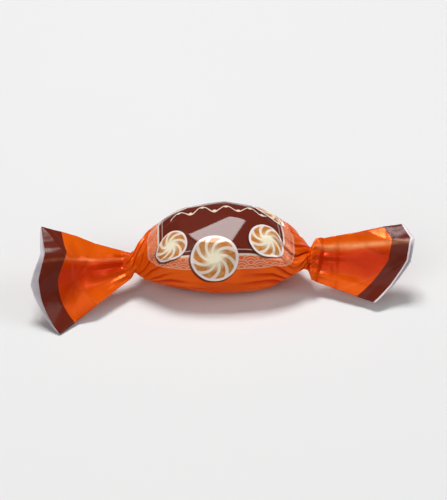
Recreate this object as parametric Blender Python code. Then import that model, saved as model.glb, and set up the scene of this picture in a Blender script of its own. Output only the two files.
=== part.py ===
"""A sweet in a twisted film wrapper, lying on its side: one closed solid.

The film is a tube round the sweet. It is gathered and twisted into a neck at each end of the
body, and beyond the neck it opens again into a flattened, pleated fan with an open mouth.
Metres, +Z up. X runs along the sweet, -Y is its front, and it rests on z = 0.
"""

import math
from dataclasses import dataclass

import bmesh
import bpy
import numpy as np
from mathutils import Vector

# Driving dimensions
BODY_LENGTH = 0.0390  # from neck to neck
BODY_WIDTH = 0.0208
BODY_HEIGHT = 0.0182
BODY_BULGE = 2.6  # higher is fuller towards the necks
BODY_SQUARENESS = 2.3  # 2 is a round section
REST_DEPTH = 0.0006  # how much of the underside is pressed flat
NECK_DROP = 0.0020  # the necks lie this far under the body's middle
NECK_FORWARD = 0.0026  # and this far in front of it
COLLAR_REACH = 0.0014  # over this length beyond a neck the film opens to its collar
FAN_LENGTH = 0.0222  # from the neck to the cut edge
FAN_THICKNESS = 0.0011  # over both layers of film
FILM_WALL = 0.00035
POCKET_START = 0.0085  # the two layers part this far beyond the neck
NECK_TWIST = math.radians(130)  # how far the pleats wind round a neck
NECK_REACH = 0.0045  # the winding runs this far to both sides of a neck
NECK_BLEND = 0.0014
TURN_REACH = 0.0090  # over this much of the body the film turns towards its fan's plane
OPENING_REACH = 0.0028  # the round neck flattens into the fan over this length
TAKEN_REACH = 0.0120  # over this length the twist takes up film unevenly
ROLL_RISE = 0.0009  # the roll beyond a neck rises over this length
ROLL_END = 0.0031  # ends this far from the neck
ROLL_FALL = 0.0007  # and falls over this length before its end
MOUTH_START = 0.45  # the mouth starts to open at this share of the fan
MOUTH_SPREAD = 0.55  # and opens over this share of its half width
EDGE_INSET = 2.2  # how much more of the film's wall is left at a fan's edges

NECK_X = BODY_LENGTH / 2
AXIS_HEIGHT = BODY_HEIGHT / 2 - REST_DEPTH

# How finely the surface is divided
AROUND = 60
BODY_STEP = 0.0017
NECK_STEP = 0.00062
FAN_STEP = 0.0018

FILM_ORANGE = (0.84, 0.17, 0.01, 1.0)
FILM_ROUGHNESS = 0.28


@dataclass
class Fan:
    """One flared end of the film. Angles are in degrees."""

    side: int  # -1 is the left end, +1 the right
    yaw: float  # turned towards the front
    pitch: float  # lifted
    tilt: float  # how far the front edge is turned down
    neck_radius: float
    spread: float  # half of the film's angle as seen from the neck
    twist_sign: int
    collar: float  # half width of the film just beyond the neck
    collar_fold: float  # height of the roll that the film makes there
    overhang: tuple  # (place across, how far the rear layer's cut edge runs past the front one's)
    facets: tuple  # (share of the width, slope), from the front edge to the back edge
    drift: float  # how far the creases lean to one side on the way out
    gathered: tuple  # (place across, length of film taken up by the twist)
    corner_folds: tuple  # (distance from the neck, place across, direction, slope)
    mouth: float  # how wide the mouth opens, in metres
    mouth_place: float  # where it opens most, from -1 to 1 across the width
    seed: int


LEFT_FAN = Fan(
    side=-1,
    yaw=26,
    pitch=10,
    tilt=37,
    neck_radius=0.0019,
    spread=27,
    twist_sign=1,
    collar=0.0027,
    collar_fold=0.0,
    overhang=((-1, 0.0001), (-0.5, 0.0003), (-0.12, 0.0010), (0.25, 0.0006), (1, 0.0004)),
    facets=((0.24, -10), (0.12, 8), (0.30, 29), (0.06, -8), (0.28, -23)),
    drift=0.26,
    gathered=((-1, 0.0004), (-0.15, -0.0004), (0.4, 0.0018), (1, 0.0016)),
    corner_folds=((0.0180, -0.62, 60, 0.2), (0.0185, 0.75, -35, -0.4)),
    mouth=0.0022,
    mouth_place=-0.1,
    seed=4,
)
RIGHT_FAN = Fan(
    side=1,
    yaw=15,
    pitch=5,
    tilt=44,
    neck_radius=0.0024,
    spread=16,
    twist_sign=-1,
    collar=0.0043,
    collar_fold=0.0016,
    overhang=((-1, 0.0002), (0.2, 0.0004), (0.8, 0.0006), (1, 0.0003)),
    facets=((0.26, -12), (0.16, 10), (0.36, 31), (0.06, -27), (0.16, -10)),
    drift=0.10,
    gathered=((-1, 0.0064), (-0.5, 0.0036), (0.1, 0.0004), (0.6, -0.0004), (1, 0.0018)),
    corner_folds=((0.0175, 0.62, 77, -0.45), (0.0180, -0.25, -60, 0.30)),
    mouth=0.0014,
    mouth_place=0.3,
    seed=9,
)

BODY_FACETS = 20
FACET_DEPTH = (0.00022, 0.00062)
FACET_SEED = 21
FACET_SPREAD = 0.66  # the share of the body's length that they cover
FACET_SHIFT = math.radians(18)
GOLDEN_TURN = math.pi * (3 - math.sqrt(5))
SLOPE_STEP = 0.0001
# Flat places of the front: (x, angle above the front, turn to the side, depth)
FRONT_FACETS = (
    (0.0010, 72, 0, 0.00060),
    (-0.0105, 84, -6, 0.00055),
    (0.0115, 66, 10, 0.00060),
    (-0.0060, 30, -4, 0.00050),
    (0.0070, 18, 5, 0.00055),
    (-0.0140, 5, -10, 0.00045),
    (0.0010, -22, 0, 0.00040),
    (0.0140, -12, 9, 0.00045),
)
FACET_REACH = 0.0060  # how far to each side of x such a place looks for its rim
FACET_ROUNDING = 0.05  # rounding of a fan's creases, as a share of its width
PLEATS = 9  # raised folds that run from each neck onto the body
PLEAT_HEIGHT = 0.00075
PLEAT_HALF_WIDTH = math.radians(13)
PLEAT_REACH = (0.006, 0.018)
PLEAT_SHIFT = 0.3  # how far a pleat strays, as a share of the distance between two
PLEAT_RISE = 0.0030  # over this much of the body a pleat rises
PLEAT_FADE = 0.0020  # and over this much of the fan it dies out
PLEAT_LEAST = 0.2  # the share of its height that it has at the neck
STAR_HEIGHT = 0.00045  # pleats of the neck itself
STAR_REACH = 0.0028
FAN_PLEATS = 9
FAN_PLEAT_HEIGHT = (0.00006, 0.00036)
FAN_PLEAT_REACH = (0.007, 0.016)
FAN_PLEAT_HALF_WIDTH = 1.6 / FAN_PLEATS
CORNER_REACH = 0.0060  # a fold across a corner rises over this much film


def smooth_step(value):
    held = np.clip(value, 0.0, 1.0)
    return held * held * (3 - 2 * held)


def tent(distance, half_width):
    """1 on a crease line, falling straight to 0 at half_width from it."""
    return np.clip(1 - np.abs(distance) / half_width, 0.0, 1.0)


def wrapped(angle):
    """The angle brought to between -pi and pi."""
    return (angle + np.pi) % (2 * np.pi) - np.pi


def fan_axes(fan):
    """Unit vectors of a fan: outwards from the neck, towards its front edge, and out of its face."""
    yaw, pitch, tilt = (math.radians(a) for a in (fan.yaw, fan.pitch, fan.tilt))
    out = Vector((fan.side * math.cos(yaw), -math.sin(yaw), 0)) * math.cos(pitch)
    out.z = math.sin(pitch)
    level = Vector((0, 0, 1)).cross(out).normalized() * -fan.side
    up = level.cross(out).normalized() * fan.side
    across = level * math.cos(tilt) - up * math.sin(tilt)
    face = level * math.sin(tilt) + up * math.cos(tilt)
    return (np.array(axis) for axis in (out, across, face))


def body_share(x):
    """The share of its full size that the body's section has at x."""
    along = np.clip(abs(x) / NECK_X, 0.0, 1.0)
    return 1 - along**BODY_BULGE


def wound(fan, beyond, theta):
    """The pleats' own angle, which winds round the neck. beyond is negative on the body."""
    turns = smooth_step((beyond + NECK_REACH) / (2 * NECK_REACH))
    return theta + fan.twist_sign * NECK_TWIST * turns


def pleat_relief(fan, beyond, theta):
    """Height of the gathered film's folds, which start at the neck and die out along the body."""
    draw = np.random.default_rng(fan.seed)
    places = (np.arange(PLEATS) + draw.uniform(-PLEAT_SHIFT, PLEAT_SHIFT, PLEATS)) * 2 * np.pi / PLEATS
    reaches = draw.uniform(*PLEAT_REACH, PLEATS)
    own = wound(fan, beyond, theta)
    star = STAR_HEIGHT * math.exp(-((beyond / STAR_REACH) ** 2))
    height = np.zeros_like(theta)
    for place, reach in zip(places, reaches):
        left = max(0.0, 1 + min(beyond, 0.0) / reach) * math.exp(-max(beyond, 0.0) / PLEAT_FADE)
        fold = PLEAT_HEIGHT * left * min(1.0, max(PLEAT_LEAST, -beyond / PLEAT_RISE))
        height += fold * tent(wrapped(own - place), PLEAT_HALF_WIDTH)
        height += star * tent(wrapped(own - place), np.pi / PLEATS)
    return height


def body_section(fan, x, theta):
    """Points of the film round the body at x, where theta is 0 at the front edge of the fan."""
    share = body_share(x)
    beyond = abs(x) - NECK_X
    turned = theta - math.radians(fan.tilt) * smooth_step(beyond / TURN_REACH + 1)
    half_width = fan.neck_radius + (BODY_WIDTH / 2 - fan.neck_radius) * share
    half_height = fan.neck_radius + (BODY_HEIGHT / 2 - fan.neck_radius) * share
    power = 2 + (BODY_SQUARENESS - 2) * share
    front = np.abs(np.cos(turned) / half_width) ** power
    top = np.abs(np.sin(turned) / half_height) ** power
    radius = (front + top) ** (-1 / power) + pleat_relief(fan, beyond, theta)
    across = -radius * np.cos(turned) - NECK_FORWARD * (1 - share)
    height = AXIS_HEIGHT - NECK_DROP * (1 - share) + radius * np.sin(turned)
    return np.stack([np.full_like(theta, x), across, height], axis=-1)


def facet_planes():
    """Planes that flatten the taut film here and there: a point on each and its normal."""
    draw = np.random.default_rng(FACET_SEED)
    planes = []
    for number in range(BODY_FACETS):
        angle = number * GOLDEN_TURN + draw.uniform(-FACET_SHIFT, FACET_SHIFT)
        x = NECK_X * FACET_SPREAD * (2 * (number + 0.5) / BODY_FACETS - 1)
        slope = (body_share(x + SLOPE_STEP) - body_share(x - SLOPE_STEP)) / (2 * SLOPE_STEP)
        normal = np.array([-slope * BODY_WIDTH / 2, -math.cos(angle), math.sin(angle)])
        normal /= np.linalg.norm(normal)
        point = body_section(RIGHT_FAN, x, np.array([angle]))[0]
        planes.append((point - normal * draw.uniform(*FACET_DEPTH), normal))
    around = np.linspace(0, 2 * np.pi, AROUND, endpoint=False)
    for x, angle, lean, depth in FRONT_FACETS:
        angle, lean = math.radians(angle), math.radians(lean)
        normal = np.array([math.sin(lean), -math.cos(angle), math.sin(angle)])
        normal /= np.linalg.norm(normal)
        nearby = np.linspace(x - FACET_REACH, x + FACET_REACH, 9)
        reach = max(float((body_section(RIGHT_FAN, at, around) @ normal).max()) for at in nearby)
        planes.append((normal * (reach - depth), normal))
    return planes


def flattened(points, planes):
    """The points, with those outside a plane moved back onto it, and the underside pressed flat."""
    for origin, normal in planes:
        outside = np.clip((points - origin) @ normal, 0.0, None)
        points = points - outside[..., None] * normal
    points[..., 2] = np.maximum(points[..., 2], 0.0)
    return points


def facet_curve(fan, distance, place):
    """Angles across and out of the fan's plane at each place (-1 front edge, 1 back edge)."""
    shares = np.array([share for share, _ in fan.facets])
    slopes = np.radians([slope for _, slope in fan.facets])
    leaning = place + fan.drift * (distance / FAN_LENGTH - 0.5) * (1 - place**2)
    arc = 2 * math.radians(fan.spread) * shares / shares.sum()
    along = np.concatenate([[0], np.cumsum(arc * np.cos(slopes))])
    rise = np.concatenate([[0], np.cumsum(arc * np.sin(slopes))])
    knots = np.concatenate([[0], np.cumsum(arc)])
    at = (leaning + 1) / 2 * knots[-1]
    near = FACET_ROUNDING * knots[-1] * (1 - np.abs(leaning) ** 4)
    shifts = [at + near * shift for shift in (-1, -0.5, 0, 0.5, 1)]
    across = np.mean([np.interp(shift, knots, along) for shift in shifts], axis=0)
    level = np.mean([np.interp(shift, knots, rise) for shift in shifts], axis=0)
    return across - along[-1] / 2, level - (rise.max() + rise.min()) / 2


def fan_relief(fan, distance, place):
    """How far the middle surface stands out of its facets: pleats by the neck, folds by the edge."""
    draw = np.random.default_rng(fan.seed + 100)
    lines = -1 + 2 * (np.arange(FAN_PLEATS) + draw.uniform(0.2, 0.8, FAN_PLEATS)) / FAN_PLEATS
    reaches = draw.uniform(*FAN_PLEAT_REACH, FAN_PLEATS)
    heights = draw.uniform(*FAN_PLEAT_HEIGHT, FAN_PLEATS)
    heights[::2] *= -1
    relief = np.zeros_like(place)
    for line, reach, height in zip(lines, reaches, heights):
        left = np.clip(1 - distance / reach, 0.0, 1.0) * np.clip(distance / NECK_BLEND, 0.0, 1.0)
        relief += height * left * tent(place - line, FAN_PLEAT_HALF_WIDTH)
    for start, line, direction, slope in fan.corner_folds:
        turn = math.radians(direction)
        beyond = (distance - start) * math.cos(turn)
        beyond = beyond + (place - line) * math.radians(fan.spread) * distance * math.sin(turn)
        relief += slope * np.clip(beyond, 0.0, CORNER_REACH)
    return relief


def half_gap(fan, distance, place, inset):
    """Half of the distance between the outsides of the two layers, less inset."""
    opening = smooth_step((distance / FAN_LENGTH - MOUTH_START) / (1 - MOUTH_START))
    bulge = np.exp(-(((place - fan.mouth_place) / MOUTH_SPREAD) ** 2))
    return FAN_THICKNESS / 2 + opening * bulge * fan.mouth / 2 - inset


def fan_section(fan, distance, theta, inset):
    """Points of the film in the fan at this distance from the neck."""
    out, across, face = fan_axes(fan)
    opened = float(smooth_step(distance / OPENING_REACH))
    straight = 1 - 2 * np.abs(wrapped(theta)) / np.pi
    place = -(opened * straight + (1 - opened) * np.cos(theta))
    taken = np.interp(place, *zip(*fan.gathered)) * smooth_step(distance / TAKEN_REACH)
    behind = np.sqrt(np.clip(-np.sin(theta), 0.0, 1.0))
    longer = np.interp(place, *zip(*fan.overhang)) * behind
    taken = taken - longer * smooth_step(distance / FAN_LENGTH)
    reach = max(distance, 0.0) - taken
    half_width = fan.collar + math.radians(fan.spread) * max(distance, POCKET_START)
    held = place * (1 - EDGE_INSET * inset / half_width)
    angle, level = facet_curve(fan, reach, held)
    round_radius = fan.neck_radius + pleat_relief(fan, distance, theta)
    gather = round_radius + (fan.collar - round_radius) * smooth_step(distance / COLLAR_REACH)
    edge = np.sign(np.sin(theta)) * np.sqrt(np.clip(1 - place**4, 0.0, 1.0))
    layer = (1 - opened) * round_radius * np.sin(theta)
    layer = layer + opened * edge * half_gap(fan, distance, held, inset)
    flat = reach * np.sin(angle) * np.cos(level) + gather * held
    roll = smooth_step(distance / ROLL_RISE) * smooth_step((ROLL_END - distance) / ROLL_FALL)
    rise = opened * reach * np.sin(level) + fan_relief(fan, reach, held) + fan.collar_fold * roll
    forward = np.where(distance > 0, reach * np.cos(angle) * np.cos(level), distance)
    neck = np.array([fan.side * NECK_X, -NECK_FORWARD, AXIS_HEIGHT - NECK_DROP])
    lift = rise + layer
    return neck + forward[:, None] * out - flat[:, None] * across + lift[:, None] * face


def film_ring(station, theta, planes, inset=0.0):
    """One ring of the film. station is x on the body, and runs on past the neck along a fan."""
    fan = LEFT_FAN if station < 0 else RIGHT_FAN
    beyond = abs(station) - NECK_X
    share = float(smooth_step((beyond + NECK_BLEND) / (2 * NECK_BLEND)))
    ring = np.zeros((len(theta), 3))
    if share < 1:
        ring += (1 - share) * flattened(body_section(fan, station, theta), planes)
    if share > 0:
        ring += share * fan_section(fan, beyond, theta, inset)
    return ring


def stations():
    """Places of the rings from the left mouth to the right one, finer about the necks."""
    fine = NECK_REACH
    body = np.linspace(0, NECK_X - fine, round((NECK_X - fine) / BODY_STEP) + 1)
    neck = np.linspace(NECK_X - fine, NECK_X + fine, round(2 * fine / NECK_STEP) + 1)
    end = NECK_X + FAN_LENGTH
    fan = np.linspace(NECK_X + fine, end, round((FAN_LENGTH - fine) / FAN_STEP) + 1)
    right = np.concatenate([body, neck[1:], fan[1:]])
    return np.concatenate([-right[:0:-1], right])


def add_ring(mesh, points):
    return [mesh.verts.new(point) for point in points]


def join_rings(mesh, first, second):
    count = len(first)
    for here in range(count):
        after = (here + 1) % count
        mesh.faces.new((first[here], first[after], second[after], second[here]))


def add_pocket(mesh, side, rim, theta, planes):
    """The inside of a fan's mouth, from the rim to where the layers meet."""
    depths = np.linspace(FAN_LENGTH, POCKET_START, round((FAN_LENGTH - POCKET_START) / FAN_STEP))
    last = rim
    for depth in depths:
        ring = add_ring(mesh, film_ring(side * (NECK_X + depth), theta, planes, FILM_WALL))
        join_rings(mesh, last, ring)
        last = ring
    half = len(last) // 2
    for here in range(half):
        pair = (last[here], last[here + 1], last[-here - 1], last[-here])
        mesh.faces.new(dict.fromkeys(pair))


def make_sweet():
    """The wrapped sweet as one closed mesh."""
    theta = np.linspace(0, 2 * np.pi, AROUND, endpoint=False)
    planes = facet_planes()
    mesh = bmesh.new()
    rings = [add_ring(mesh, film_ring(place, theta, planes)) for place in stations()]
    for first, second in zip(rings, rings[1:]):
        join_rings(mesh, first, second)
    add_pocket(mesh, -1, rings[0], theta, planes)
    add_pocket(mesh, 1, rings[-1], theta, planes)
    bmesh.ops.recalc_face_normals(mesh, faces=mesh.faces)
    data = bpy.data.meshes.new("wrapped_sweet")
    mesh.to_mesh(data)
    mesh.free()
    return data


def film_material():
    """Glossy orange printed film."""
    material = bpy.data.materials.new("orange_film")
    material.use_nodes = True
    shader = material.node_tree.nodes["Principled BSDF"]
    shader.inputs["Base Color"].default_value = FILM_ORANGE
    shader.inputs["Roughness"].default_value = FILM_ROUGHNESS
    shader.inputs["Metallic"].default_value = 0.0
    return material


def main():
    for leftover in list(bpy.data.objects):
        bpy.data.objects.remove(leftover)
    data = make_sweet()
    data.materials.append(film_material())
    data.shade_smooth()
    sweet = bpy.data.objects.new("wrapped_sweet", data)
    bpy.context.collection.objects.link(sweet)


if __name__ == "__main__":
    main()
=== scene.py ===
"""The looks of a sweet in a twisted wrapper of printed film. Metres, +Z up, -Y is the front."""

import math
from dataclasses import dataclass

import bmesh
import bpy
import numpy as np
from bpy.props import FloatProperty, FloatVectorProperty, IntProperty, PointerProperty
from bpy.types import Operator, Panel, PropertyGroup
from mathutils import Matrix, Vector


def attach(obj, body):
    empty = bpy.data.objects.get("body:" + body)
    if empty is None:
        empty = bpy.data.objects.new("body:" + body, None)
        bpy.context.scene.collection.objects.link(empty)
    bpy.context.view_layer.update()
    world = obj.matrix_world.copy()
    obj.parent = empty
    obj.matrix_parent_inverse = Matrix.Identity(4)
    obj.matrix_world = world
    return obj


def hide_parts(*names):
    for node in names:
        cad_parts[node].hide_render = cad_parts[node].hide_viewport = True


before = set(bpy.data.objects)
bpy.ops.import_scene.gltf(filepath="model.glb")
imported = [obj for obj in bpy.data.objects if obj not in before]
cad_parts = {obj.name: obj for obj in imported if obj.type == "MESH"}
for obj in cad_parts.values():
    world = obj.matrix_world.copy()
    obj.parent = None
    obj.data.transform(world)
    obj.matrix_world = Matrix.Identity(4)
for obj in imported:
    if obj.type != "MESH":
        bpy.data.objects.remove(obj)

bl_info = {
    "name": "Wrapped sweet",
    "version": (1, 0, 0),
    "blender": (4, 5, 0),
    "location": "3D View > Sidebar > Sweet",
    "description": "Makes a twist-wrapped sweet in printed film, with its floor, lights and camera",
    "category": "Add Mesh",
}

NODE = "wrapped_sweet"
MILLIMETRE = 0.001

# Where the film's folds begin and end, as in the solid
BODY_BULGE = 2.6
BODY_SQUARENESS = 2.3
REST_DEPTH = 0.0006
NECK_DROP = 0.0020
NECK_FORWARD = 0.0026
COLLAR_REACH = 0.0014
FACET_ROUNDING = 0.05
LAYER_GAP = 0.0005
POCKET_START = 0.0085
NECK_TWIST = math.radians(130)
NECK_REACH = 0.0045
NECK_BLEND = 0.0014
TURN_REACH = 0.0090
OPENING_REACH = 0.0028
TAKEN_REACH = 0.0120
ROLL_RISE = 0.0009
ROLL_END = 0.0031
ROLL_FALL = 0.0007
MOUTH_START = 0.45
MOUTH_SPREAD = 0.55
EDGE_INSET = 2.2

BODY_FACETS = 20
FACET_DEPTH = (0.00022, 0.00062)
FACET_SEED = 21
FACET_SPREAD = 0.66
FACET_SHIFT = math.radians(18)
GOLDEN_TURN = math.pi * (3 - math.sqrt(5))
SLOPE_STEP = 0.0001
FACET_LOOKS = (9, 60)  # places along and round the body
FRONT_FACETS = (
    (0.0010, 72, 0, 0.00060),
    (-0.0105, 84, -6, 0.00055),
    (0.0115, 66, 10, 0.00060),
    (-0.0060, 30, -4, 0.00050),
    (0.0070, 18, 5, 0.00055),
    (-0.0140, 5, -10, 0.00045),
    (0.0010, -22, 0, 0.00040),
    (0.0140, -12, 9, 0.00045),
)
FACET_REACH = 0.0060
PLEATS = 9
PLEAT_HEIGHT = 0.00075
PLEAT_HALF_WIDTH = math.radians(13)
PLEAT_REACH = (0.006, 0.018)
PLEAT_SHIFT = 0.3
PLEAT_RISE = 0.0030
PLEAT_FADE = 0.0020
PLEAT_LEAST = 0.2
STAR_HEIGHT = 0.00045
STAR_REACH = 0.0028
FAN_PLEATS = 9
FAN_PLEAT_HEIGHT = (0.00006, 0.00036)
FAN_PLEAT_REACH = (0.007, 0.016)
FAN_PLEAT_HALF_WIDTH = 1.6 / FAN_PLEATS
FAN_PLEAT_SHIFT = (0.2, 0.8)
CORNER_REACH = 0.0060

# Finer folds that only the dressed part has
GATHERS = 24
GATHER_HEIGHT = (0.00006, 0.00022)
GATHER_HALF_WIDTH = (0.05, 0.10)
GATHER_REACH = (0.003, 0.013)
GATHER_SHIFT = 0.4
GATHER_FADE = 0.003
GROOVE_DEPTH = (0.00044, 0.00078)
GROOVE_HALF_WIDTH = (0.09, 0.15)
GROOVE_STEEPNESS = 0.35  # width of a groove's steep side, as a share of the other side's
GROOVE_RISE = 1.5
FAN_CREASES = 6
CREASE_HEIGHT = (0.00008, 0.00024)
CREASE_HALF_WIDTH = (0.0010, 0.0024)
CREASE_LENGTH = (0.004, 0.010)
CREASE_START = 0.004  # how near to the neck the middle of a crease may lie
CREASE_END = 0.92  # and how far, as a share of the fan's length
CREASE_SPREAD = 0.9  # the share of the fan's angle that the creases cover
CREASE_STRAY = 0.35  # how far a crease turns from the fan's rays
CREASE_TURN = (0.9, 2.2)  # how much further one turns that crosses them
CREASE_BOW = 0.12
CREASE_RISE = 0.006
OVERLAP_PLACE = math.radians(-100)
OVERLAP_WIDTH = math.radians(60)
OVERLAP_HEIGHT = 0.00010
OVERLAP_STEP = 0.02  # the angle over which its free edge rises

# What each kind of fold adds to its fan's seed
GATHER_DRAW = 50
FAN_PLEAT_DRAW = 100
GROOVE_DRAW = 300

# Wear with a painted highlight along the sharp folds, and painted light and shade of the printed colours
# over the folds
WORN_HIGHLIT_WIDTH = 0.00045
CREASE_WEAR_AND_HIGHLIGHT = 0.04
CORNER_WEAR_AND_HIGHLIGHT = 0.3
BLUNT_FALL = 20  # a ridge that turns by so few degrees gets no wear and no painted highlight
SHARP_FALL = 58  # and one that turns by so many gets the most wear and painted highlight
PAINTED_LIGHT_RANGE = 60  # degrees of slope from the facet with the most painted shade to the one with the most painted light
BODY_PAINTED_TONE = 0.72  # how bright the body's ground is painted away from folds, between painted shade and painted light
GROOVE_SHADE = 4.0  # how much the painted shade deepens the ground's orange in the long folds
FAN_ONSET = 0.004  # over this length beyond a neck the film takes on the fan's look

# How loose the film is, from 0 to 1
TAUT = 0.10
SHOULDER_SLACK = 0.25
FAN_SLACK = 0.65
SHOULDER_REACH = 0.012
FLOOR_CLEARANCE = 0.0004  # film nearer to the floor than this stays in place
FLOOR_FADE = 0.002
CRINKLE_GAIN = 3.0  # brings the noise's small spread up to the crinkle height

# How finely the surface is divided
AROUND = 208
BODY_RINGS = 90
NECK_RINGS = 70
FAN_RINGS = 78
POCKET_RINGS = 46
PRINT_MAP = "Print"


@dataclass
class Fan:
    """One flared end of the film, as in the solid. Angles are in degrees."""

    side: int
    yaw: float
    pitch: float
    tilt: float
    neck_radius: float
    spread: float
    twist_sign: int
    collar: float
    collar_fold: float
    overhang: tuple
    grooves: tuple  # (place round the neck, how far it runs onto the body)
    facets: tuple
    drift: float
    gathered: tuple
    corner_folds: tuple
    mouth: float
    mouth_place: float
    seed: int
    crease_seed: int


LEFT_FAN = Fan(
    side=-1,
    yaw=26,
    pitch=10,
    tilt=37,
    neck_radius=0.0019,
    spread=27,
    twist_sign=1,
    collar=0.0027,
    collar_fold=0.0,
    overhang=((-1, 0.0001), (-0.5, 0.0003), (-0.12, 0.0010), (0.25, 0.0006), (1, 0.0004)),
    grooves=(
        (-40, 0.015), (-26, 0.020), (-12, 0.017), (4, 0.012), (24, 0.009),
        (52, 0.011), (96, 0.013), (143, 0.016), (188, 0.012), (236, 0.015),
    ),
    facets=((0.24, -10), (0.12, 8), (0.30, 29), (0.06, -8), (0.28, -23)),
    drift=0.26,
    gathered=((-1, 0.0004), (-0.15, -0.0004), (0.4, 0.0018), (1, 0.0016)),
    corner_folds=((0.0180, -0.62, 60, 0.2), (0.0185, 0.75, -35, -0.4)),
    mouth=0.0022,
    mouth_place=-0.1,
    seed=4,
    crease_seed=204,
)
RIGHT_FAN = Fan(
    side=1,
    yaw=15,
    pitch=5,
    tilt=44,
    neck_radius=0.0024,
    spread=16,
    twist_sign=-1,
    collar=0.0043,
    collar_fold=0.0016,
    overhang=((-1, 0.0002), (0.2, 0.0004), (0.8, 0.0006), (1, 0.0003)),
    grooves=(
        (-34, 0.014), (-16, 0.021), (-2, 0.018), (15, 0.015), (34, 0.010),
        (60, 0.013), (84, 0.011), (131, 0.014), (176, 0.017), (222, 0.012),
    ),
    facets=((0.26, -12), (0.16, 10), (0.36, 31), (0.06, -27), (0.16, -10)),
    drift=0.10,
    gathered=((-1, 0.0064), (-0.5, 0.0036), (0.1, 0.0004), (0.6, -0.0004), (1, 0.0018)),
    corner_folds=((0.0175, 0.62, 77, -0.45), (0.0180, -0.25, -60, 0.30)),
    mouth=0.0014,
    mouth_place=0.3,
    seed=9,
    crease_seed=214,
)


@dataclass
class Pinwheel:
    """A round swirl in the print. Places and sizes are millimetres on the film."""

    along: float
    around: float
    radius: float
    blades: int
    turned: float


PINWHEELS = (
    Pinwheel(along=-1.6, around=-11.2, radius=5.2, blades=9, turned=0.2),
    Pinwheel(along=-11.4, around=-7.0, radius=3.9, blades=8, turned=0.5),
    Pinwheel(along=10.2, around=-6.4, radius=4.2, blades=8, turned=0.1),
    Pinwheel(along=-8.6, around=9.6, radius=4.8, blades=9, turned=0.3),
    Pinwheel(along=2.6, around=12.4, radius=3.4, blades=8, turned=0.0),
    Pinwheel(along=11.2, around=6.6, radius=4.0, blades=8, turned=0.4),
)
BLADE_BEND = 1.3
BLADE_GAP = 0.34
SHADOW_SHIFT = (0.25, 0.35)
SHADOW_STRENGTH = 0.85
LACE_WIDTH = 4.2
LACE_RINGS = (0.47, 0.34, 0.20)
PANEL_HALF_LENGTH = 14.2
PANEL_HALF_HEIGHT = 10.2
PANEL_CORNER = 6.5
KEYLINE_WIDTH = 0.55
KEYLINE_SOFTNESS = 0.12
INNER_LINE_PLACE = 0.9
INNER_LINE_STRENGTH = 0.5
BORDER_WIDTH = 3.4
BORDER_SOFTNESS = 0.1
BORDER_TINT = 0.12
BORDER_STRENGTH = 0.8
GARLAND_WAVE = 5.2
GARLAND_PLACE = 2.4
GARLAND_HEIGHT = 1.15
GARLAND_DOT_PLACE = 0.9
LEFT_STRIPE = 5.3
RIGHT_STRIPE = 4.4

# Where a soft edge of the print begins and where it is full: first in millimetres
LACE_LINE = (0.17, 0.07)
HEM_LINE = (0.22, 0.08)
INNER_LINE = (0.16, 0.06)
GARLAND_LINE = (0.28, 0.14)
GARLAND_DOT = (0.55, 0.38)
GARLAND_END = (11.2, 10.9)
PANEL_EDGE = (0.06, -0.06)
STRIPE_EDGE = (0.04, -0.04)
CUT_EDGE = (0.42, 0.34)
# and then as shares of a swirl's radius
SWIRL_EDGE = (1.012, 0.988)
SWIRL_RIM = (0.88, 0.93)
SWIRL_CENTRE = (0.3, 0.8)
SHADOW_EDGE = (1.07, 1.0)
BLADE_SIDE = (-0.012, 0.03)
BLADE_TIP = (0.90, 0.86)
BLADE_ROOT = (0.16, 0.62)

# Colours of small things in the print and on the film
PALE_AMBER = (0.62, 0.30, 0.09, 1.0)
PALE_CREAM = (0.92, 0.83, 0.62, 1.0)
RIM_CREAM = (0.86, 0.75, 0.74, 1.0)
SHADOW_BROWN = (0.05, 0.012, 0.004, 1.0)
LACE_PINK = (0.82, 0.44, 0.29, 1.0)
# Pale orange for wear along sharp ridges, which also paints the highlight that the ridges catch
WORN_HIGHLIGHT_ORANGE = (0.98, 0.48, 0.20, 1.0)
CUT_WHITE = (0.78, 0.70, 0.72, 1.0)
INNER_GREY = (0.60, 0.54, 0.59, 1.0)

# The film's gloss: the coat is strongest on the dense brown
FILM_SPECULAR = 0.03
GROUND_METAL = 0.15
LEAST_COAT = 0.09
PANEL_COAT = 0.26
STRIPE_COAT = 0.08
COAT_ROUGHNESS = 0.18

# How uneven the film looks
GROUND_PATCHES = 0.7
GROUND_RANGE = (0.05, 0.95)
GRAIN_RANGE = (0.35, 0.7)
SCUFF_RANGE = (0.38, 0.62)
INNER_RANGE = (0.35, 0.75)
# How strongly wear and the painted highlight show along sharp ridges
LEAST_WORN_HIGHLIT = 0.36
SCUFF_WORN_HIGHLIT = 0.30
STRIPE_HOLD = 0.6  # how much less the stripes take the wear and painted highlight than the ground
FINE_SHARE = 0.35
TAUT_SHARE = 0.2

# Soft boxes: name, place, width, depth, the setting that gives its power, and the share of it
SOFT_BOXES = (
    ("top_box", (-0.04, 0.27, 0.82), 0.31, 0.235, "key", 1.0),
    ("front_box", (-0.45, -0.85, 0.75), 1.1, 1.0, "fill", 1.0),
    ("side_box", (0.90, -0.15, 0.55), 0.5, 0.6, "fill", 0.5),
)
LIT_PLACE = (0.0, 0.0, 0.008)
WORLD_STRENGTH = 0.10
FLOOR_HALF_SIZE = 3.0
FLOOR_SHADE = 0.97
VIEW_TARGET = (0.0006, -0.001, 0.0085)
VIEW_WIDTH = 0.098  # how much of the target's plane the picture shows
SENSOR_WIDTH = 36.0
LEAST_FACES = 1000  # a wrapper with fewer has gone wrong


def length_setting(name, description, default):
    """A size in metres."""
    return FloatProperty(
        name=name, description=description, default=default, unit="LENGTH", precision=5
    )


def angle_setting(name, description, degrees):
    """An angle, given in degrees."""
    return FloatProperty(
        name=name, description=description, default=math.radians(degrees), subtype="ANGLE"
    )


def power_setting(name, description, watts):
    """A power in watts."""
    return FloatProperty(name=name, description=description, default=watts, subtype="POWER")


def colour_setting(name, description, *parts):
    """An opaque colour, given by its red, green and blue."""
    return FloatVectorProperty(
        name=name, description=description, default=(*parts, 1.0), size=4, subtype="COLOR"
    )


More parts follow.
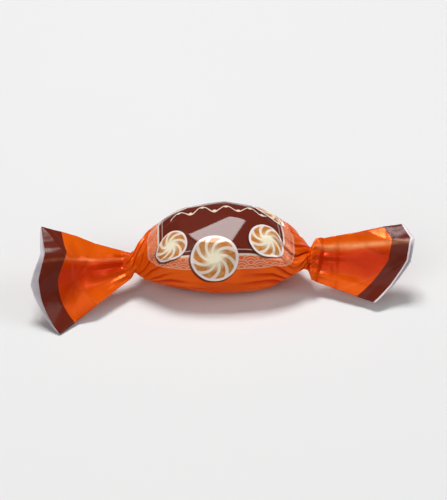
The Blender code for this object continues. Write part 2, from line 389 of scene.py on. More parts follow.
class FilmSizes(PropertyGroup):
    """Sizes of the wrapper."""

    body_length: length_setting("Body length", "From neck to neck", 0.0390)
    body_width: length_setting("Body width", "Widest, front to back", 0.0208)
    body_height: length_setting("Body height", "Before the underside is pressed flat", 0.0182)
    fan_length: length_setting("Fan length", "From a neck to its cut edge", 0.0222)
    film_wall: length_setting("Film thickness", "Thickness that shows at a cut edge", 0.00012)
    crinkle_height: length_setting("Crinkle height", "How far fine crinkles move the film", 0.00010)
    crinkle_size: length_setting("Crinkle size", "Distance from one fine crinkle to the next", 0.0045)
    crinkle_seed: IntProperty(name="Crinkle seed", description="Another draw", default=3)


class FilmColours(PropertyGroup):
    """Colours of the printed film."""

    # Orange is the ground's own colour. The colour after it is the same orange with painted shade,
    # blended in over hollows, long folds and down-facing facets
    orange: colour_setting("Orange", "Ground of the print, where the film stands out", 0.84, 0.115, 0.003)
    shaded_orange: colour_setting("Deep orange", "Ground of the print in the hollows", 0.58, 0.030, 0.001)
    brown: colour_setting("Brown", "Panel and end stripes", 0.135, 0.018, 0.009)
    cream: colour_setting("Cream", "Keyline, garland and swirls", 0.80, 0.66, 0.56)
    amber: colour_setting("Amber", "Blades of the swirls", 0.52, 0.17, 0.030)
    inner: colour_setting("Inside", "Unprinted inner side of the film", 0.72, 0.67, 0.70)


class StageSettings(PropertyGroup):
    """Floor, lights and camera."""

    floor: colour_setting("Floor", "Plain pale floor", 0.79, 0.79, 0.79)
    azimuth: angle_setting("Camera azimuth", "0 looks along +Y", 2)
    elevation: angle_setting("Camera elevation", "Above the floor", 38)
    distance: length_setting("Camera distance", "From the sweet", 0.45)
    key: power_setting("Top light", "Power of the soft box above", 5.8)
    fill: power_setting("Fill light", "Power of the soft boxes at the front and the side", 5.2)


def smooth_step(value):
    held = np.clip(value, 0.0, 1.0)
    return held * held * (3 - 2 * held)


def tent(distance, half_width):
    """1 on a crease line, falling straight to 0 at half_width from it."""
    return np.clip(1 - np.abs(distance) / half_width, 0.0, 1.0)


def wrapped(angle):
    """The angle brought to between -pi and pi."""
    return (angle + np.pi) % (2 * np.pi) - np.pi


def place_across(theta):
    """Where a point of a ring lies across its fan: -1 at the front edge, 1 at the back edge."""
    return 2 * np.abs(wrapped(theta)) / np.pi - 1


def fan_axes(fan):
    """Unit vectors of a fan: outwards from the neck, towards its front edge, and out of its face."""
    yaw, pitch, tilt = (math.radians(a) for a in (fan.yaw, fan.pitch, fan.tilt))
    out = Vector((fan.side * math.cos(yaw), -math.sin(yaw), 0)) * math.cos(pitch)
    out.z = math.sin(pitch)
    level = Vector((0, 0, 1)).cross(out).normalized() * -fan.side
    up = level.cross(out).normalized() * fan.side
    across = level * math.cos(tilt) - up * math.sin(tilt)
    face = level * math.sin(tilt) + up * math.cos(tilt)
    return (np.array(axis) for axis in (out, across, face))


def wound(fan, beyond, theta):
    """The film's own angle, which winds round the neck. beyond is negative on the body."""
    turns = smooth_step((beyond + NECK_REACH) / (2 * NECK_REACH))
    return theta + fan.twist_sign * NECK_TWIST * turns


def pleat_relief(fan, beyond, theta):
    """Height of the gathered film's folds, which start at the neck and die out along the body."""
    draw = np.random.default_rng(fan.seed)
    shifts = draw.uniform(-PLEAT_SHIFT, PLEAT_SHIFT, PLEATS)
    places = (np.arange(PLEATS) + shifts) * 2 * np.pi / PLEATS
    reaches = draw.uniform(*PLEAT_REACH, PLEATS)
    own = wound(fan, beyond, theta)
    star = STAR_HEIGHT * math.exp(-((beyond / STAR_REACH) ** 2))
    height = np.zeros_like(theta)
    for place, reach in zip(places, reaches):
        left = max(0.0, 1 + min(beyond, 0.0) / reach) * math.exp(-max(beyond, 0.0) / PLEAT_FADE)
        fold = PLEAT_HEIGHT * left * min(1.0, max(PLEAT_LEAST, -beyond / PLEAT_RISE))
        height += fold * tent(wrapped(own - place), PLEAT_HALF_WIDTH)
        height += star * tent(wrapped(own - place), np.pi / PLEATS)
    return height + fine_gathers(fan, beyond, own)


def fine_gathers(fan, beyond, own):
    """Height of the thin gathers between the main pleats, and of the film's overlap."""
    draw = np.random.default_rng(fan.seed + GATHER_DRAW)
    shifts = draw.uniform(-GATHER_SHIFT, GATHER_SHIFT, GATHERS)
    places = (np.arange(GATHERS) + shifts) * 2 * np.pi / GATHERS
    heights = draw.uniform(*GATHER_HEIGHT, GATHERS)
    widths = draw.uniform(*GATHER_HALF_WIDTH, GATHERS)
    reaches = draw.uniform(*GATHER_REACH, GATHERS)
    relief = np.zeros_like(own)
    for place, tall, width, reach in zip(places, heights, widths, reaches):
        left = max(0.0, 1 + min(beyond, 0.0) / reach) * math.exp(-max(beyond, 0.0) / GATHER_FADE)
        relief += tall * left * tent(wrapped(own - place), width)
    past_edge = wrapped(own - OVERLAP_PLACE)
    step = smooth_step(past_edge / OVERLAP_STEP) * (past_edge > 0)
    return relief + OVERLAP_HEIGHT * step * np.clip(1 - past_edge / OVERLAP_WIDTH, 0.0, 1.0)


def groove_depth(fan, beyond, own):
    """Depth of the long folds that run from the neck into the body, steep on one side."""
    draw = np.random.default_rng(fan.seed + GROOVE_DRAW)
    depth = np.zeros_like(own)
    for degrees, reach in fan.grooves:
        off = wrapped(own - math.radians(degrees)) * fan.side
        width = draw.uniform(*GROOVE_HALF_WIDTH)
        half_width = np.where(off < 0, width, width * GROOVE_STEEPNESS)
        left = smooth_step(GROOVE_RISE * (1 + min(beyond, 0.0) / reach))
        left = left * math.exp(-max(beyond, 0.0) / PLEAT_FADE)
        depth = np.maximum(depth, draw.uniform(*GROOVE_DEPTH) * left * tent(off, half_width))
    return depth


class Film:
    """The film's surface, worked out ring by ring from the sizes."""

    def __init__(self, sizes):
        self.width = sizes.body_width
        self.height = sizes.body_height
        self.neck_x = sizes.body_length / 2
        self.fan_length = sizes.fan_length
        self.wall = sizes.film_wall
        self.axis_height = sizes.body_height / 2 - REST_DEPTH
        self.planes = self.facet_planes()

    def body_share(self, x):
        """The share of its full size that the body's section has at x."""
        along = np.clip(abs(x) / self.neck_x, 0.0, 1.0)
        return 1 - along**BODY_BULGE

    def body_section(self, fan, x, theta):
        """Points of the film round the body at x, where theta is 0 at the front edge of the fan."""
        share = self.body_share(x)
        beyond = abs(x) - self.neck_x
        turned = theta - math.radians(fan.tilt) * smooth_step(beyond / TURN_REACH + 1)
        half_width = fan.neck_radius + (self.width / 2 - fan.neck_radius) * share
        half_height = fan.neck_radius + (self.height / 2 - fan.neck_radius) * share
        power = 2 + (BODY_SQUARENESS - 2) * share
        front = np.abs(np.cos(turned) / half_width) ** power
        top = np.abs(np.sin(turned) / half_height) ** power
        radius = (front + top) ** (-1 / power) + pleat_relief(fan, beyond, theta)
        across = -radius * np.cos(turned) - NECK_FORWARD * (1 - share)
        height = self.axis_height - NECK_DROP * (1 - share) + radius * np.sin(turned)
        return np.stack([np.full_like(theta, x), across, height], axis=-1)

    def facet_planes(self):
        """Planes that flatten the taut film here and there: a point on each and its normal."""
        draw = np.random.default_rng(FACET_SEED)
        planes = []
        for number in range(BODY_FACETS):
            angle = number * GOLDEN_TURN + draw.uniform(-FACET_SHIFT, FACET_SHIFT)
            x = self.neck_x * FACET_SPREAD * (2 * (number + 0.5) / BODY_FACETS - 1)
            slope = self.body_share(x + SLOPE_STEP) - self.body_share(x - SLOPE_STEP)
            slope /= 2 * SLOPE_STEP
            normal = np.array([-slope * self.width / 2, -math.cos(angle), math.sin(angle)])
            normal /= np.linalg.norm(normal)
            point = self.body_section(RIGHT_FAN, x, np.array([angle]))[0]
            planes.append((point - normal * draw.uniform(*FACET_DEPTH), normal))
        looks, looks_around = FACET_LOOKS
        around = np.linspace(0, 2 * np.pi, looks_around, endpoint=False)
        for x, degrees, lean, depth in FRONT_FACETS:
            angle, aside = math.radians(degrees), math.radians(lean)
            normal = np.array([math.sin(aside), -math.cos(angle), math.sin(angle)])
            normal /= np.linalg.norm(normal)
            nearby = np.linspace(x - FACET_REACH, x + FACET_REACH, looks)
            rim = [self.body_section(RIGHT_FAN, near, around) for near in nearby]
            reach = max(float((ring @ normal).max()) for ring in rim)
            planes.append((normal * (reach - depth), normal))
        return planes

    def flattened(self, points):
        """The points, with those outside a plane moved back onto it, and the underside flat."""
        for origin, normal in self.planes:
            outside = np.clip((points - origin) @ normal, 0.0, None)
            points = points - outside[..., None] * normal
        points[..., 2] = np.maximum(points[..., 2], 0.0)
        return points

    def grooved(self, fan, x, theta, points):
        """The body's points with the long folds sunk into them."""
        beyond = abs(x) - self.neck_x
        slack_share = 1 - self.body_share(x)
        centre = (x, -NECK_FORWARD * slack_share, self.axis_height - NECK_DROP * slack_share)
        outward = points - np.array(centre)
        outward /= np.linalg.norm(outward, axis=1)[:, None]
        return points - groove_depth(fan, beyond, wound(fan, beyond, theta))[:, None] * outward

    def lean(self, fan, distance, place):
        """The place across the fan, with the facets' lines drawn aside towards the cut edge."""
        return place + fan.drift * (distance / self.fan_length - 0.5) * (1 - place**2)

    def facet_curve(self, fan, distance, place):
        """Angles across and out of the fan's plane at each place (-1 front edge, 1 back edge)."""
        shares, slopes = np.array(fan.facets, float).T
        slopes = np.radians(slopes)
        leaning = self.lean(fan, distance, place)
        arc = 2 * math.radians(fan.spread) * shares / shares.sum()
        along = np.concatenate([[0], np.cumsum(arc * np.cos(slopes))])
        rise = np.concatenate([[0], np.cumsum(arc * np.sin(slopes))])
        knots = np.concatenate([[0], np.cumsum(arc)])
        at = (leaning + 1) / 2 * knots[-1]
        near = FACET_ROUNDING * knots[-1] * (1 - np.abs(leaning) ** 4)
        shifts = [at + near * shift for shift in (-1, -0.5, 0, 0.5, 1)]
        across = np.mean([np.interp(shift, knots, along) for shift in shifts], axis=0)
        level = np.mean([np.interp(shift, knots, rise) for shift in shifts], axis=0)
        return across - along[-1] / 2, level - (rise.max() + rise.min()) / 2

    def fan_relief(self, fan, distance, place):
        """How far the middle surface stands out of its facets: pleats and folds."""
        draw = np.random.default_rng(fan.seed + FAN_PLEAT_DRAW)
        shifts = draw.uniform(*FAN_PLEAT_SHIFT, FAN_PLEATS)
        lines = -1 + 2 * (np.arange(FAN_PLEATS) + shifts) / FAN_PLEATS
        reaches = draw.uniform(*FAN_PLEAT_REACH, FAN_PLEATS)
        heights = draw.uniform(*FAN_PLEAT_HEIGHT, FAN_PLEATS)
        heights[::2] *= -1
        relief = np.zeros_like(place)
        for line, reach, height in zip(lines, reaches, heights):
            left = np.clip(1 - distance / reach, 0.0, 1.0) * np.clip(distance / NECK_BLEND, 0.0, 1.0)
            relief += height * left * tent(place - line, FAN_PLEAT_HALF_WIDTH)
        for start, line, direction, slope in fan.corner_folds:
            beyond = self.past_fold(fan, distance, place, start, line, direction)
            relief += slope * np.clip(beyond, 0.0, CORNER_REACH)
        return relief + self.fan_creases(fan, distance, place)[0]

    def past_fold(self, fan, distance, place, start, line, direction):
        """How far each point lies past a straight fold line across the fan."""
        turn = math.radians(direction)
        aside = (place - line) * math.radians(fan.spread) * distance
        return (distance - start) * math.cos(turn) + aside * math.sin(turn)

    def fan_creases(self, fan, distance, place):
        """Height of the fan's small sharp creases, and how worn the film is along them, with a painted
        highlight on the same lines.
        """
        draw = np.random.default_rng(fan.crease_seed)
        angle = place * math.radians(fan.spread)
        out, aside = distance * np.cos(angle), distance * np.sin(angle)
        relief = np.zeros_like(place)
        worn_highlit = np.zeros_like(place)
        for number in range(FAN_CREASES):
            reach = draw.uniform(CREASE_START, self.fan_length * CREASE_END)
            start = draw.uniform(-CREASE_SPREAD, CREASE_SPREAD) * math.radians(fan.spread)
            heading = start + draw.uniform(-CREASE_STRAY, CREASE_STRAY)
            if number % 3 == 0:
                heading += draw.uniform(*CREASE_TURN)
            length = draw.uniform(*CREASE_LENGTH)
            height = draw.uniform(*CREASE_HEIGHT) * draw.choice([-1.0, 1.0])
            half_width = draw.uniform(*CREASE_HALF_WIDTH)
            from_out = out - reach * math.cos(start)
            from_aside = aside - reach * math.sin(start)
            along = from_out * math.cos(heading) + from_aside * math.sin(heading)
            off = from_aside * math.cos(heading) - from_out * math.sin(heading)
            bowed = off - CREASE_BOW * along**2 / length
            taper = np.clip(1 - (along / length) ** 2, 0.0, 1.0)
            relief += height * taper * tent(bowed, half_width)
            worn_highlit = np.maximum(worn_highlit, taper * tent(bowed, WORN_HIGHLIT_WIDTH))
        started = smooth_step(distance / CREASE_RISE)
        return relief * started, worn_highlit * started

    def creases_worn_and_highlit(self, fan, distance, place):
        """1 on the sharp ridges of the fan, where the film has whitened and a highlight is painted, and 0
        away from them.
        """
        shares, slopes = np.array(fan.facets, float).T
        knots = 2 * np.cumsum(shares)[:-1] / shares.sum() - 1
        reach = math.radians(fan.spread) * max(distance, POCKET_START)
        leaning = self.lean(fan, distance, place)
        worn_highlit = self.fan_creases(fan, distance, place)[1] * CREASE_WEAR_AND_HIGHLIGHT
        for knot, fall in zip(knots, slopes[:-1] - slopes[1:]):
            sharp = np.clip((fall - BLUNT_FALL) / (SHARP_FALL - BLUNT_FALL), 0.0, 1.0)
            worn_highlit = np.maximum(worn_highlit, sharp * tent((leaning - knot) * reach, WORN_HIGHLIT_WIDTH))
        for start, line, direction, slope in fan.corner_folds:
            off = self.past_fold(fan, distance, place, start, line, direction)
            worn_highlit = np.maximum(worn_highlit, CORNER_WEAR_AND_HIGHLIGHT * abs(slope) * tent(off, WORN_HIGHLIT_WIDTH))
        return worn_highlit * smooth_step(distance / FAN_ONSET)

    def painted_facet_light(self, fan, distance, place):
        """Painted light and shade over each facet: 0 where it faces down, 1 where it faces up."""
        shares, slopes = np.array(fan.facets, float).T
        middles = 2 * (np.cumsum(shares) - shares / 2) / shares.sum() - 1
        painted_slope_tones = np.clip(0.5 - slopes / PAINTED_LIGHT_RANGE, 0.0, 1.0)
        return np.interp(self.lean(fan, distance, place), middles, painted_slope_tones)

    def half_gap(self, fan, distance, place, inset):
        """Half of the distance between the outsides of the two layers, less inset."""
        opening = smooth_step((distance / self.fan_length - MOUTH_START) / (1 - MOUTH_START))
        bulge = np.exp(-(((place - fan.mouth_place) / MOUTH_SPREAD) ** 2))
        return LAYER_GAP / 2 + opening * bulge * fan.mouth / 2 - inset

    def fan_section(self, fan, distance, theta, inset):
        """Points of the film in the fan at this distance from the neck."""
        out, across, face = fan_axes(fan)
        opened = float(smooth_step(distance / OPENING_REACH))
        straight = 1 - 2 * np.abs(wrapped(theta)) / np.pi
        place = -(opened * straight + (1 - opened) * np.cos(theta))
        taken = np.interp(place, *zip(*fan.gathered)) * smooth_step(distance / TAKEN_REACH)
        behind = np.sqrt(np.clip(-np.sin(theta), 0.0, 1.0))
        longer = np.interp(place, *zip(*fan.overhang)) * behind
        taken = taken - longer * smooth_step(distance / self.fan_length)
        reach = max(distance, 0.0) - taken
        half_width = fan.collar + math.radians(fan.spread) * max(distance, POCKET_START)
        held = place * (1 - EDGE_INSET * inset / half_width)
        angle, level = self.facet_curve(fan, reach, held)
        round_radius = fan.neck_radius + pleat_relief(fan, distance, theta)
        gather = round_radius + (fan.collar - round_radius) * smooth_step(distance / COLLAR_REACH)
        edge = np.sign(np.sin(theta)) * np.sqrt(np.clip(1 - place**4, 0.0, 1.0))
        layer = (1 - opened) * round_radius * np.sin(theta)
        layer = layer + opened * edge * self.half_gap(fan, distance, held, inset)
        flat = reach * np.sin(angle) * np.cos(level) + gather * held
        rise = opened * reach * np.sin(level) + self.fan_relief(fan, reach, held)
        roll = smooth_step(distance / ROLL_RISE) * smooth_step((ROLL_END - distance) / ROLL_FALL)
        rise = rise + fan.collar_fold * roll
        forward = np.where(distance > 0, reach * np.cos(angle) * np.cos(level), distance)
        neck = np.array([fan.side * self.neck_x, -NECK_FORWARD, self.axis_height - NECK_DROP])
        lift = rise + layer
        return neck + forward[:, None] * out - flat[:, None] * across + lift[:, None] * face

    def end_of(self, station):
        """The fan at the station's end, and how far the station is beyond its neck."""
        return LEFT_FAN if station < 0 else RIGHT_FAN, abs(station) - self.neck_x

    def ring(self, station, theta, inset=0.0):
        """One ring of the film. station is x on the body, and runs on past the neck along a fan."""
        fan, beyond = self.end_of(station)
        share = float(smooth_step((beyond + NECK_BLEND) / (2 * NECK_BLEND)))
        ring = np.zeros((len(theta), 3))
        if share < 1:
            body = self.flattened(self.body_section(fan, station, theta))
            ring += (1 - share) * self.grooved(fan, station, theta, body)
        if share > 0:
            ring += share * self.fan_section(fan, beyond, theta, inset)
        return ring

    def stations(self):
        """Places of the rings from the left mouth to the right one, finer about the necks."""
        fine = NECK_REACH
        body = np.linspace(0, self.neck_x - fine, BODY_RINGS // 2 + 1)
        neck = np.linspace(self.neck_x - fine, self.neck_x + fine, NECK_RINGS + 1)
        fan = np.linspace(self.neck_x + fine, self.neck_x + self.fan_length, FAN_RINGS + 1)
        right = np.concatenate([body, neck[1:], fan[1:]])
        return np.concatenate([-right[:0:-1], right])

    def painted_shade_tones(self, station, theta):
        """How bright the ground is painted at each point of a ring: painted shade lowest in a hollow,
        painted light at 1 on a ridge, and on the fans by how each facet faces.
        """
        fan, beyond = self.end_of(station)
        # Painted shade: raised pleats lighter and long folds darker; on the fans, each facet lit by how
        # it faces
        folds = np.clip(pleat_relief(fan, beyond, theta) / PLEAT_HEIGHT, 0.0, 1.0)
        sunk = groove_depth(fan, beyond, wound(fan, beyond, theta)) / GROOVE_DEPTH[1]
        folds = folds - GROOVE_SHADE * sunk
        painted_fan_tone = self.painted_facet_light(fan, max(beyond, 0.0), place_across(theta))
        share = float(smooth_step(beyond / FAN_ONSET))
        return (1 - share) * (BODY_PAINTED_TONE + (1 - BODY_PAINTED_TONE) * folds) + share * painted_fan_tone

    def wear_and_highlight(self, station, theta):
        """How worn the film is at each point of a ring along its sharp ridges, with a painted highlight
        along the same lines.
        """
        fan, beyond = self.end_of(station)
        if beyond <= 0:
            return np.zeros_like(theta)
        return self.creases_worn_and_highlit(fan, beyond, place_across(theta))

    def slack(self, station, points):
        """How loose the film is at each point of a ring, from 0 to 1."""
        _, beyond = self.end_of(station)
        on_fan = float(smooth_step(beyond / FAN_ONSET))
        on_shoulder = float(smooth_step(1 + beyond / SHOULDER_REACH))
        clear_of_floor = smooth_step((points[:, 2] - FLOOR_CLEARANCE) / FLOOR_FADE)
        return (TAUT + SHOULDER_SLACK * on_shoulder + FAN_SLACK * on_fan) * clear_of_floor


def join_rings(mesh, first, second, inside, places):
    """Faces from one ring to the next. places are (u, v) rows of both rings, one past the last."""
    count = len(first)
    print_map = mesh.loops.layers.uv[PRINT_MAP]
    inner = mesh.faces.layers.int["inside"]
    for here in range(count):
        after = (here + 1) % count
        face = mesh.faces.new((first[here], first[after], second[after], second[here]))
        face.smooth = True
        face[inner] = inside
        corners = ((0, here), (0, here + 1), (1, here + 1), (1, here))
        for loop, (ring, place) in zip(face.loops, corners):
            loop[print_map].uv = places[ring][place]


def film_places(film, rings, stations):
    """Where each point lies on the flat film: millimetres along it and around it."""
    steps = np.linalg.norm(np.diff(rings, axis=0), axis=2).mean(axis=1)
    along = np.concatenate([[0], np.cumsum(steps)])
    along -= along[len(along) // 2]
    girth = math.pi * (film.width + film.height) / 2
    theta = np.linspace(-math.pi / 2, 3 * math.pi / 2, AROUND + 1)
    places = []
    for station, run in zip(stations, along):
        fan, beyond = film.end_of(station)
        around = (wound(fan, beyond, theta) - math.pi / 2) * girth / (2 * math.pi)
        places.append(np.stack([np.full_like(around, run), around], axis=-1) / MILLIMETRE)
    return places


def make_film_mesh(film):
    """The wrapper as one mesh: the printed outside, the cut rims and the inside of both mouths."""
    theta = np.linspace(-math.pi / 2, 3 * math.pi / 2, AROUND, endpoint=False)
    stations = film.stations()
    rings = np.array([film.ring(station, theta) for station in stations])
    places = film_places(film, rings, stations)
    mesh = bmesh.new()
    mesh.loops.layers.uv.new(PRINT_MAP)
    mesh.faces.layers.int.new("inside")
    slack = mesh.verts.layers.float.new("slack")
    # Painted shade of the ground, and wear with a painted highlight along sharp ridges, are kept per
    # point
    painted_shading = mesh.verts.layers.float.new("painted_shading")
    wear_and_highlight = mesh.verts.layers.float.new("wear_and_highlight")

    def add_ring(station, points):
        verts = [mesh.verts.new(point) for point in points]
        marks = (film.slack(station, points), film.painted_shade_tones(station, theta), film.wear_and_highlight(station, theta))
        for vert, loose, fold, worn_highlit in zip(verts, *marks):
            vert[slack] = loose
            vert[painted_shading] = fold
            vert[wear_and_highlight] = worn_highlit
        return verts

    made = [add_ring(station, points) for station, points in zip(stations, rings)]
    for here in range(len(made) - 1):
        join_rings(mesh, made[here], made[here + 1], 0, places[here : here + 2])
    for side, rim, rim_places in ((-1, made[0], places[0]), (1, made[-1], places[-1])):
        depths = np.linspace(film.fan_length, POCKET_START, POCKET_RINGS)
        last = rim
        for depth in depths:
            station = side * (film.neck_x + depth)
            ring = add_ring(station, film.ring(station, theta, film.wall))
            join_rings(mesh, last, ring, 1, (rim_places, rim_places))
            last = ring
        quarter = len(last) // 4
        turned = last[quarter:] + last[:quarter]
        for here in range(len(turned) // 2):
            pair = (turned[here], turned[here + 1], turned[-here - 1], turned[-here])
            face = mesh.faces.new(dict.fromkeys(pair))
            face[mesh.faces.layers.int["inside"]] = 1
            face.smooth = True
    for rim in (made[0], made[-1]):
        for here, vert in enumerate(rim):
            edge = mesh.edges.get((vert, rim[(here + 1) % len(rim)]))
            edge.smooth = False
    bmesh.ops.recalc_face_normals(mesh, faces=mesh.faces)
    data = bpy.data.meshes.new("film")
    mesh.to_mesh(data)
    mesh.free()
    return data


def add_object(name, data):
    made = bpy.data.objects.new(name, data)
    bpy.context.collection.objects.link(made)
    return made


class Signal:
    """A value in a shader. Arithmetic on it adds Math nodes."""

    def __init__(self, nodes, socket):
        self.nodes = nodes
        self.socket = socket

    def math(self, operation, *others):
        return self.nodes.calculate(operation, self, *others)

    def output(self, name):
        return Signal(self.nodes, self.socket.node.outputs[name])

    def __add__(self, other):
        return self.math("ADD", other)

    __radd__ = __add__

    def __sub__(self, other):
        return self.math("SUBTRACT", other)

    def __rsub__(self, other):
        return self.nodes.calculate("SUBTRACT", other, self)

    def __mul__(self, other):
        return self.math("MULTIPLY", other)

    __rmul__ = __mul__

    def __truediv__(self, other):
        return self.math("DIVIDE", other)

    def __rtruediv__(self, other):
        return self.nodes.calculate("DIVIDE", other, self)

    def __pow__(self, other):
        return self.math("POWER", other)

    def __abs__(self):
        return self.math("ABSOLUTE")

    def __neg__(self):
        return self * -1

    def most(self, other):
        return self.math("MAXIMUM", other)

    def ramp(self, low, high):
        """0 at low and 1 at high, or the other way round, with soft ends."""
        settings = {"interpolation_type": "SMOOTHSTEP", "clamp": True}
        turned = low > high
        first, last = (high, low) if turned else (low, high)
        values = {"Value": self, "From Min": first, "From Max": last}
        rising = self.nodes.add("ShaderNodeMapRange", settings, values)
        return 1 - rising if turned else rising


class Nodes:
    """Adds nodes to one tree, with settings first and then values or links."""

    def __init__(self, tree):
        self.tree = tree
        tree.nodes.clear()

    def add(self, kind, settings=None, values=None, output=0):
        node = self.tree.nodes.new(kind)
        for name, setting in (settings or {}).items():
            setattr(node, name, setting)
        for key, value in (values or {}).items():
            if isinstance(value, Signal):
                self.tree.links.new(value.socket, node.inputs[key])
            else:
                node.inputs[key].default_value = value
        return Signal(self, node.outputs[output]) if len(node.outputs) else None

    def calculate(self, operation, *values):
        return self.add("ShaderNodeMath", {"operation": operation}, dict(enumerate(values)))

    def blend(self, under, over, share):
        """One colour laid over another."""
        settings = {"data_type": "RGBA"}
        return self.add("ShaderNodeMix", settings, {0: share, 6: under, 7: over}, output=2)

    def noise(self, place, scale, detail=2.0, rough=0.5):
        values = {"Vector": place, "Scale": scale, "Detail": detail, "Roughness": rough}
        return self.add("ShaderNodeTexNoise", None, values)

    def bump(self, strength, distance, height):
        values = {"Strength": strength, "Distance": distance, "Height": height}
        return self.add("ShaderNodeBump", None, values)

    def surface(self, values):
        """The tree's shader, joined to its output."""
        shader = self.add("ShaderNodeBsdfPrincipled", None, values)
        self.add("ShaderNodeOutputMaterial", None, {"Surface": shader})


def new_material(name):
    material = bpy.data.materials.new(name)
    material.use_nodes = True
    return material, Nodes(material.node_tree)


def pinwheel(nodes, along, around, disc, under, amber, cream):
    """Lays one swirl of curved blades over the colour underneath."""
    across = along - disc.along
    down = around - disc.around
    radius = (across * across + down * down).math("SQRT") / disc.radius
    angle = down.math("ARCTAN2", across) + (disc.turned + math.pi)
    blade = ((angle + radius * BLADE_BEND) * (disc.blades / (2 * math.pi))).math("FRACT")
    from_side = (blade.math("MINIMUM", 1 - blade) * 2 - BLADE_GAP) * radius * (math.pi / disc.blades)
    in_blade = from_side.ramp(*BLADE_SIDE) * radius.ramp(*BLADE_TIP) * radius.ramp(*BLADE_ROOT)
    ground = nodes.blend(PALE_CREAM, cream, radius.ramp(*SWIRL_CENTRE))
    swirl = nodes.blend(ground, amber, in_blade)
    rimmed = nodes.blend(swirl, RIM_CREAM, radius.ramp(*SWIRL_RIM))
    shadow_across, shadow_down = across + SHADOW_SHIFT[0], down + SHADOW_SHIFT[1]
    shadow = (shadow_across**2 + shadow_down**2).math("SQRT") / disc.radius
    shaded = nodes.blend(under, SHADOW_BROWN, shadow.ramp(*SHADOW_EDGE) * SHADOW_STRENGTH)
    return nodes.blend(shaded, rimmed, radius.ramp(*SWIRL_EDGE))


def beyond_panel(along, around):
    """Millimetres outside the rim of the rounded panel, below 0 inside it."""
    past_end = (abs(along) - (PANEL_HALF_LENGTH - PANEL_CORNER)).most(0.0)
    past_side = (abs(around) - (PANEL_HALF_HEIGHT - PANEL_CORNER)).most(0.0)
    return (past_end * past_end + past_side * past_side).math("SQRT") - PANEL_CORNER


def scale_lace(along, around):
    """Rows of overlapping fans of thin arcs, which all open upwards."""
    step = LACE_WIDTH / 4
    upwards = -abs(around) / step
    odd = (upwards.math("FLOOR") * 0.5).math("FRACT")
    risen = upwards.math("FRACT") * step
    shift = along / LACE_WIDTH + odd
    aside = (shift.math("FRACT") - 0.5) * LACE_WIDTH
    other = ((shift + 0.5).math("FRACT") - 0.5) * LACE_WIDTH
    behind = (aside * aside + risen * risen).math("SQRT")
    front = (other * other + (risen + step) ** 2).math("SQRT")
    covered = front.math("LESS_THAN", LACE_WIDTH / 2)
    reach = front * covered + behind * (1 - covered)
    lines = [abs(reach - LACE_WIDTH * ring).ramp(*LACE_LINE) for ring in LACE_RINGS]
    return lines[0].most(lines[1]).most(lines[2])


def garland(along, around):
    """A thin waved line with a dot in each bay, across the middle of the panel."""
    wave = (along * (2 * math.pi / GARLAND_WAVE)).math("SINE")
    line = abs(around - GARLAND_PLACE - wave * GARLAND_HEIGHT).ramp(*GARLAND_LINE)
    half_wave = GARLAND_WAVE / 2
    aside = ((along / half_wave).math("FRACT") - 0.5) * half_wave
    flip = ((along / GARLAND_WAVE).math("FRACT") - 0.5).math("SIGN")
    away = around - GARLAND_PLACE + flip * GARLAND_DOT_PLACE
    dot = (aside**2 + away**2).math("SQRT").ramp(*GARLAND_DOT)
    return line.most(dot) * abs(along).ramp(*GARLAND_END)


def film_ground(nodes, place, painted_shading, colours):
    """The ground's orange, with painted shade in the hollows and on down-facing facets, and a little
    uneven.
    """
    patchy = nodes.noise(place, scale=170.0) - 0.5
    # Painted shade and light: the ground goes towards the shaded orange in hollows and on down-facing
    # facets; the patches are real unevenness of the print
    fold = (painted_shading + patchy * GROUND_PATCHES).ramp(*GROUND_RANGE)
    return nodes.blend(colours.shaded_orange, colours.orange, fold)


def body_print(nodes, place, along, around, beyond, ground, colours):
    """The panel, its border of lace, the garland and the swirls, laid over the ground."""
    tinted = beyond.ramp(BORDER_WIDTH, BORDER_WIDTH - BORDER_SOFTNESS) * BORDER_TINT
    hem = abs(beyond - BORDER_WIDTH).ramp(*HEM_LINE) * BORDER_STRENGTH
    in_border = (beyond - BORDER_WIDTH).ramp(*PANEL_EDGE)
    drawn = scale_lace(along, around) * in_border * BORDER_STRENGTH
    body = nodes.blend(ground, LACE_PINK, drawn.most(tinted).most(hem))
    keyline = beyond.ramp(KEYLINE_WIDTH, KEYLINE_WIDTH - KEYLINE_SOFTNESS)
    body = nodes.blend(body, colours.cream, keyline)
    body = nodes.blend(body, colours.brown, beyond.ramp(*PANEL_EDGE))
    inner_line = abs(beyond + INNER_LINE_PLACE).ramp(*INNER_LINE) * INNER_LINE_STRENGTH
    body = nodes.blend(body, colours.cream, inner_line)
    body = nodes.blend(body, colours.cream, garland(along, around))
    grain = nodes.noise(place, scale=900.0, detail=3.0, rough=0.6)
    amber = nodes.blend(colours.amber, PALE_AMBER, grain.ramp(*GRAIN_RANGE))
    for disc in PINWHEELS:
        body = pinwheel(nodes, along, around, disc, body, amber, colours.cream)
    return body


